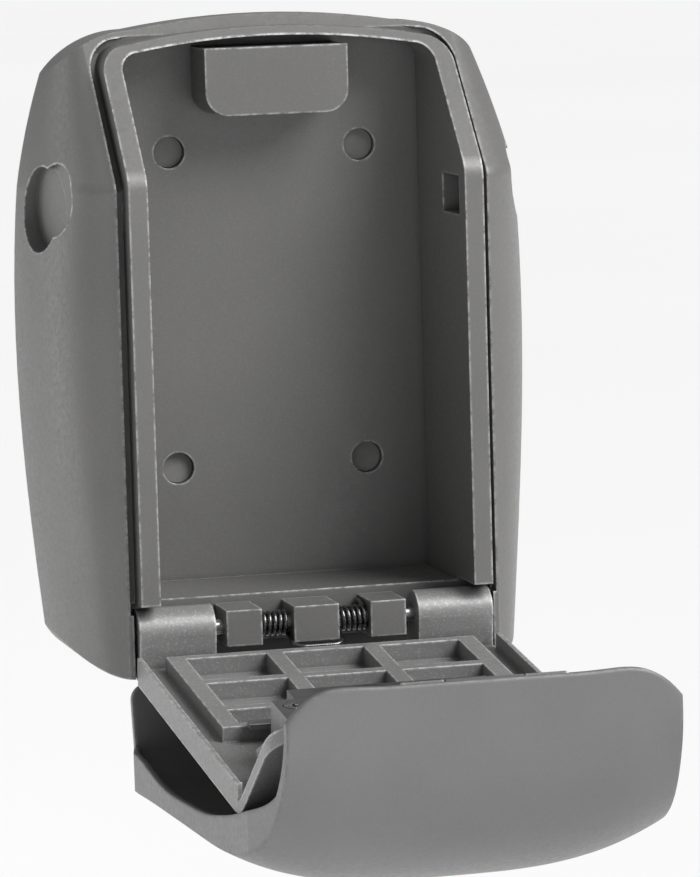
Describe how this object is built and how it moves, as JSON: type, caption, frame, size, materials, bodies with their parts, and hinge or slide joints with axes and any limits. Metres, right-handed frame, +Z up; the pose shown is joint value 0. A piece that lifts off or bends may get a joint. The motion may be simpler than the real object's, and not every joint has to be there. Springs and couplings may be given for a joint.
{
  "type": "combination key lock box",
  "caption": "Wall-mounted combination key safe: a deep cast housing, a drop-down ribbed door with sprung hinge, number dials, sliding bolts and a flip-up weather shutter.",
  "frame": {"origin": "centre of the four wall screws, on the back face", "axes": "+X to the right seen from the front, +Y into the wall, +Z up"},
  "size_m": [0.1094, 0.166, 0.1657],
  "materials": {
    "housing_paint": "satin silver-grey powder coat",
    "plug_plastic": "matt grey",
    "pin_steel": "plain steel",
    "spring_steel": "dark oiled spring wire",
    "door_paint": "satin silver-grey with worn edges",
    "zinc_plate": "zinc plated",
    "button_black": "matt black",
    "bolt_nickel": "bright nickel",
    "case_metal": "satin grey",
    "screw_steel": "zinc plated",
    "lever_metal": "nickel plated",
    "shutter_paint": "satin silver-grey",
    "dial_plastic": "matt black with pale figures",
    "sleeve_brass": "plain brass"
  },
  "bodies": {
    "housing": {"housing": "housing_paint", "hole_plugs": "plug_plastic", "hinge_pin": "pin_steel", "hinge_spring": "spring_steel"},
    "door": {"door_casting": "door_paint", "dial_axle": "pin_steel", "latch_spring": "spring_steel", "lock_case": "case_metal", "case_screws": "screw_steel", "detent_spring": "spring_steel", "shutter_pin": "pin_steel"},
    "latch": {"latch_slide": "zinc_plate", "release_button": "button_black", "button_screws": "screw_steel"},
    "bolt_left": {"bolt_left": "bolt_nickel"},
    "bolt_right": {"bolt_right": "bolt_nickel"},
    "change_lever": {"change_lever": "lever_metal"},
    "shutter": {"shutter": "shutter_paint"},
    "dial_1": {"number_dial_1": "dial_plastic", "dial_sleeve_1": "sleeve_brass"},
    "dial_2": {"number_dial_2": "dial_plastic", "dial_sleeve_2": "sleeve_brass"},
    "dial_3": {"number_dial_3": "dial_plastic", "dial_sleeve_3": "sleeve_brass"},
    "dial_4": {"number_dial_4": "dial_plastic", "dial_sleeve_4": "sleeve_brass"}
  },
  "joints": [
    {"name": "door_hinge", "type": "hinge", "parent": "housing", "child": "door", "pos_m": [0, -0.0351, -0.064], "axis": [-1, 0, 0], "range_deg": [0, 97.3], "deforming": ["hinge_spring"]},
    {"name": "latch_travel", "type": "slide", "parent": "door", "child": "latch", "axis": [0, -0.9919, -0.1271], "range_m": [0, 0.003], "deforming": ["latch_spring"]},
    {"name": "bolt_left_travel", "type": "slide", "parent": "door", "child": "bolt_left", "axis": [-1, 0, 0], "range_m": [0, 0.0036]},
    {"name": "bolt_right_travel", "type": "slide", "parent": "door", "child": "bolt_right", "axis": [1, 0, 0], "range_m": [0, 0.0036]},
    {"name": "change_lever_turn", "type": "hinge", "parent": "door", "child": "change_lever", "pos_m": [-0.012, -0.11373, -0.06802], "axis": [0, -0.1271, 0.9919], "range_deg": [0, 90]},
    {"name": "shutter_hinge", "type": "hinge", "parent": "door", "child": "shutter", "pos_m": [0, -0.16335, -0.05684], "axis": [-1, 0, 0], "range_deg": [0, 75]},
    {"name": "dial_1_turn", "type": "hinge", "parent": "door", "child": "dial_1", "pos_m": [-0.012, -0.10191, -0.0776], "axis": [1, 0, 0], "continuous": true},
    {"name": "dial_2_turn", "type": "hinge", "parent": "door", "child": "dial_2", "pos_m": [-0.004, -0.10191, -0.0776], "axis": [1, 0, 0], "continuous": true},
    {"name": "dial_3_turn", "type": "hinge", "parent": "door", "child": "dial_3", "pos_m": [0.004, -0.10191, -0.0776], "axis": [1, 0, 0], "continuous": true},
    {"name": "dial_4_turn", "type": "hinge", "parent": "door", "child": "dial_4", "pos_m": [0.012, -0.10191, -0.0776], "axis": [1, 0, 0], "continuous": true}
  ],
  "couplings": [
    {"joint": "bolt_left_travel", "follows": "latch_travel", "ratio": 1.2},
    {"joint": "bolt_right_travel", "follows": "latch_travel", "ratio": 1.2}
  ]
}
